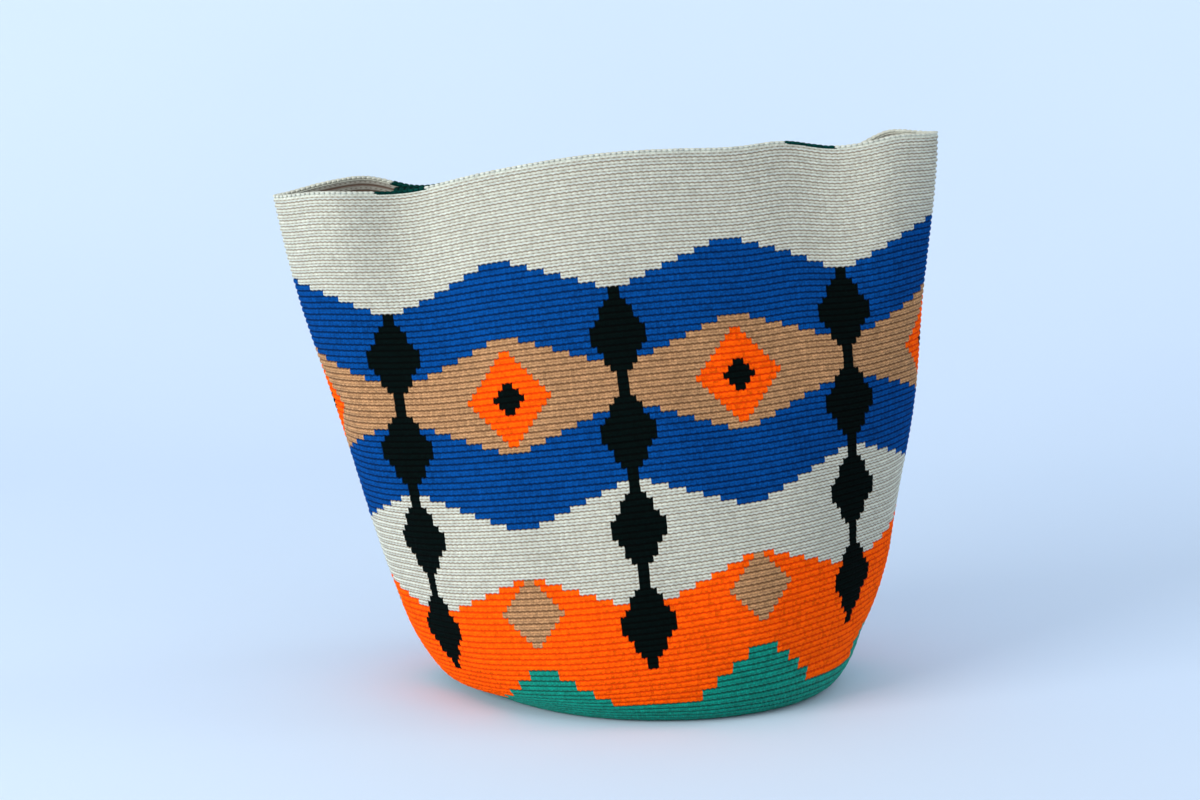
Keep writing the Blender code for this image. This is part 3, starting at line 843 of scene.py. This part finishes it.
def yarn_group():
    """Yarn: uneven and fuzzy, with painted shade between the rounds and stitches, in dots along each
    round's middle, and at its edges.
    """
    if "yarn_look" in bpy.data.node_groups:
        return bpy.data.node_groups["yarn_look"]
    group = bpy.data.node_groups.new("yarn_look", "ShaderNodeTree")
    face = group.interface
    inputs = (
        ("Colour", "NodeSocketColor"),
        ("Painted groove shade", "NodeSocketColor"),
        ("Width", "NodeSocketFloat"),
        ("Dots", "NodeSocketFloat"),
        ("Uneven and gap shade", "NodeSocketFloat"),
    )
    for label, kind in inputs:
        face.new_socket(label, in_out="INPUT", socket_type=kind)
    for label, kind in (("Colour", "NodeSocketColor"), ("Normal", "NodeSocketVector")):
        face.new_socket(label, in_out="OUTPUT", socket_type=kind)
    nodes, links = group.nodes, group.links
    start, end = nodes.new("NodeGroupInput"), nodes.new("NodeGroupOutput")

    def maths(operation, *values, clamp=False):
        made = nodes.new("ShaderNodeMath")
        made.operation = operation
        made.use_clamp = clamp
        for socket, value in zip(made.inputs, values):
            if isinstance(value, (int, float)):
                socket.default_value = value
            else:
                links.new(value, socket)
        return made.outputs[0]

    def near(value, middle, reach):
        """1 where the value is at the middle, falling to 0 at its reach."""
        away = maths("DIVIDE", maths("ABSOLUTE", maths("SUBTRACT", value, middle)), reach)
        return maths("SUBTRACT", 1.0, away, clamp=True)

    def noise(scale, detail):
        made = nodes.new("ShaderNodeTexNoise")
        made.inputs["Scale"].default_value = scale
        made.inputs["Detail"].default_value = detail
        links.new(place, made.inputs["Vector"])
        return made.outputs["Fac"]

    weave = nodes.new("ShaderNodeAttribute")
    weave.attribute_name = "weave"
    split = nodes.new("ShaderNodeSeparateXYZ")
    links.new(weave.outputs["Vector"], split.inputs[0])
    u, v, tone = split.outputs
    place = nodes.new("ShaderNodeTexCoord").outputs["Object"]
    rise, within = maths("FRACT", v), maths("FRACT", u)
    fuzz, grain, broad = (noise(*kind) for kind in NOISES)

    # 0 between two rounds and 1 along a round's middle
    crown = maths("MULTIPLY", maths("MULTIPLY", rise, maths("SUBTRACT", 1.0, rise)), 4.0)
    # groove: painted shade along the line between two rounds, its edge ragged with the grain
    edge = maths("MULTIPLY_ADD", grain, RAGGED, start.outputs["Width"])
    groove = maths("MAXIMUM", near(rise, 0.0, edge), near(rise, 1.0, edge))
    groove = maths("POWER", groove, LINE_POWER)
    # dots: painted shade along each round's middle, darkest at the hole in each V
    reach = maths("MULTIPLY_ADD", grain, RAGGED, DOT_WIDTH)
    line = maths("POWER", near(rise, 0.5, reach), LINE_POWER)
    hole = maths("MULTIPLY_ADD", near(within, 0.5, HOLE_WIDTH), 1 - LINE_SHARE, LINE_SHARE)
    dots = maths("MULTIPLY", maths("MULTIPLY", line, hole), start.outputs["Dots"])
    # between: painted shade between two stitches
    between = maths("MAXIMUM", near(within, 0.0, GAP_WIDTH), near(within, 1.0, GAP_WIDTH))
    between = maths("MULTIPLY", maths("MULTIPLY", between, PAINTED_GAP_SHADE), start.outputs["Uneven and gap shade"])
    # dark: how far the colour turns to the painted shade
    dark = maths("MAXIMUM", groove, maths("MAXIMUM", dots, between))

    leg = nodes.new("ShaderNodeTexWhiteNoise")
    leg.noise_dimensions = "2D"
    cell = nodes.new("ShaderNodeCombineXYZ")
    links.new(maths("FLOOR", maths("MULTIPLY", u, 2.0)), cell.inputs[0])
    links.new(maths("FLOOR", maths("MULTIPLY", v, 2.0)), cell.inputs[1])
    links.new(cell.outputs[0], leg.inputs["Vector"])

    side = maths("SIGN", maths("SUBTRACT", within, 0.5))
    turns = maths("MULTIPLY", u, PLY_ALONG)
    phase = maths("MULTIPLY_ADD", maths("MULTIPLY", side, v), PLY_SLANT, turns)
    ply = maths("SINE", phase)

    # What makes the colour lighter and darker: each source, its middle and how much it counts
    value = maths("MULTIPLY", tone, 0.03)
    for source, middle, amount in (
        (broad, 0.5, 0.16),
        (fuzz, 0.5, 0.45),
        (grain, 0.5, 0.60),
        (leg.outputs["Value"], 0.5, 0.24),
        (ply, 0.0, 0.06),
        # crown: painted shade, darker towards each round's edges and lighter along its middle
        (crown, 0.7, 0.22),
    ):
        value = maths("MULTIPLY_ADD", maths("SUBTRACT", source, middle), amount, value)
    value = maths("MULTIPLY_ADD", value, start.outputs["Uneven and gap shade"], 1.0)
    shade = nodes.new("ShaderNodeVectorMath")
    shade.operation = "SCALE"
    links.new(start.outputs["Colour"], shade.inputs[0])
    links.new(value, shade.inputs["Scale"])
    mixed, result = colour_mix(nodes)
    links.new(dark, mixed["Factor_Float"])
    links.new(shade.outputs[0], mixed["A_Color"])
    links.new(start.outputs["Painted groove shade"], mixed["B_Color"])
    links.new(result, end.inputs["Colour"])

    # The yarn's fine relief: each source and how much it counts
    height = maths("MULTIPLY", fuzz, 0.8)
    for source, amount in ((ply, 0.25), (grain, 0.8), (crown, 1.6), (dots, -1.0)):
        height = maths("MULTIPLY_ADD", source, amount, height)
    bump = nodes.new("ShaderNodeBump")
    bump.inputs["Strength"].default_value = BUMP_STRENGTH
    bump.inputs["Distance"].default_value = BUMP_DEPTH
    links.new(height, bump.inputs["Height"])
    links.new(bump.outputs["Normal"], end.inputs["Normal"])
    return group


def yarn_material(yarn, inside=False):
    name = "yarn_" + yarn + "_inside" * inside
    if name in bpy.data.materials:
        return bpy.data.materials[name]
    made = bpy.data.materials.new(name)
    made.use_nodes = True
    tree = made.node_tree
    shader = tree.nodes["Principled BSDF"]
    look = tree.nodes.new("ShaderNodeGroup")
    look.node_tree = yarn_group()
    colour = STRAP if yarn == "strap" else YARNS[yarn]
    # The painted groove shade: a listed colour, or a darker shade of the yarn
    painted_groove_colours = INSIDE_PAINTED_GROOVE_COLOURS if inside else PAINTED_GROOVE_COLOURS
    deep = painted_groove_colours.get(yarn, tuple(PAINTED_GROOVE_SHADE * c for c in colour))
    look.inputs["Colour"].default_value = (*colour, 1)
    look.inputs["Painted groove shade"].default_value = (*deep, 1)
    width = INSIDE_GROOVE_WIDTH if inside else GROOVE_WIDTHS.get(yarn, GROOVE_WIDTH)
    look.inputs["Width"].default_value = width
    look.inputs["Dots"].default_value = DOT_STRENGTHS.get(yarn, DOT_STRENGTH)
    look.inputs["Uneven and gap shade"].default_value = UNEVENNESSES_AND_GAP_SHADES.get(yarn, UNEVENNESS_AND_GAP_SHADE)
    tree.links.new(look.outputs["Colour"], shader.inputs["Base Color"])
    tree.links.new(look.outputs["Normal"], shader.inputs["Normal"])
    specular, sheen = DEEP_SHINE if yarn in DEEP_YARNS else SHINE
    shader.inputs["Roughness"].default_value = ROUGHNESS
    shader.inputs["Specular IOR Level"].default_value = specular
    shader.inputs["Sheen Weight"].default_value = sheen
    shader.inputs["Sheen Roughness"].default_value = SHEEN_ROUGHNESS
    return made


def build_stage():
    bpy.ops.mesh.primitive_plane_add(size=1)
    floor = bpy.context.object
    floor.name = "floor"
    mesh = floor.data
    mesh.clear_geometry()
    turn = np.linspace(0, math.pi / 2, CURVE_POINTS)
    depth = [FLOOR_FRONT, *(FLOOR_BACK + FLOOR_CURVE * np.sin(turn)), FLOOR_BACK + FLOOR_CURVE]
    height = [0.0, *(FLOOR_CURVE * (1 - np.cos(turn))), BACKDROP_TOP]
    sides = (-FLOOR_HALF_WIDTH, FLOOR_HALF_WIDTH)
    points = [(x, y, z) for y, z in zip(depth, height) for x in sides]
    faces = [(2 * i, 2 * i + 1, 2 * i + 3, 2 * i + 2) for i in range(len(depth) - 1)]
    mesh.from_pydata(points, [], faces)
    mesh.shade_smooth()
    cloth = bpy.data.materials.new("pale_cloth")
    cloth.use_nodes = True
    tree = cloth.node_tree
    shader = tree.nodes["Principled BSDF"]
    noise = tree.nodes.new("ShaderNodeTexNoise")
    noise.inputs["Scale"].default_value = CLOTH_NOISE
    place = tree.nodes.new("ShaderNodeTexCoord")
    tree.links.new(place.outputs["Object"], noise.inputs["Vector"])
    mixed, result = colour_mix(tree.nodes)
    mixed["A_Color"].default_value, mixed["B_Color"].default_value = CLOTH_COLOURS
    tree.links.new(noise.outputs["Fac"], mixed["Factor_Float"])
    tree.links.new(result, shader.inputs["Base Color"])
    shader.inputs["Roughness"].default_value = ROUGHNESS
    shader.inputs["Specular IOR Level"].default_value = CLOTH_SPECULAR
    floor.data.materials.append(cloth)


def area_light(name, place, target, size, power, colour):
    data = bpy.data.lights.new(name, "AREA")
    data.shape = "RECTANGLE"
    data.size, data.size_y = size
    data.energy = power
    data.color = colour
    lamp = bpy.data.objects.new(name, data)
    bpy.context.scene.collection.objects.link(lamp)
    lamp.location = place
    lamp.rotation_euler = (Vector(target) - Vector(place)).to_track_quat("-Z", "Y").to_euler()


def light_and_camera():
    scene = bpy.context.scene
    scene.view_settings.view_transform = "Standard"
    world = bpy.data.worlds.new("studio")
    scene.world = world
    world.use_nodes = True
    # The light is nearly white, and the camera sees the backdrop's pale blue.
    nodes, links = world.node_tree.nodes, world.node_tree.links
    lit = nodes["Background"]
    seen = nodes.new("ShaderNodeBackground")
    for background, (colour, strength) in ((lit, WORLD_LIT), (seen, WORLD_SEEN)):
        background.inputs["Color"].default_value = colour
        background.inputs["Strength"].default_value = strength
    choose = nodes.new("ShaderNodeMixShader")
    links.new(nodes.new("ShaderNodeLightPath").outputs["Is Camera Ray"], choose.inputs[0])
    links.new(lit.outputs[0], choose.inputs[1])
    links.new(seen.outputs[0], choose.inputs[2])
    links.new(choose.outputs[0], nodes["World Output"].inputs["Surface"])
    for light in LIGHTS:
        area_light(*light)
    data = bpy.data.cameras.new("camera")
    data.sensor_width = SENSOR
    data.lens = LENS
    camera = bpy.data.objects.new("camera", data)
    scene.collection.objects.link(camera)
    camera.location = CAMERA_PLACE
    camera.rotation_euler = (math.radians(90 - CAMERA_DOWN), 0, 0)
    scene.camera = camera


body_pieces = [*build_wall(), build_inside(), build_base(), build_rim_bed(), *build_rim_chains()]
front_handle = build_handle("front_strap", -1)
back_handle = build_handle("back_strap", 1)
for piece in (*body_pieces, front_handle, back_handle, build_sewing()):
    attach(piece, "root")
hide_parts("bag_body")
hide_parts("front_handle")
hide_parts("back_handle")
build_stage()
light_and_camera()
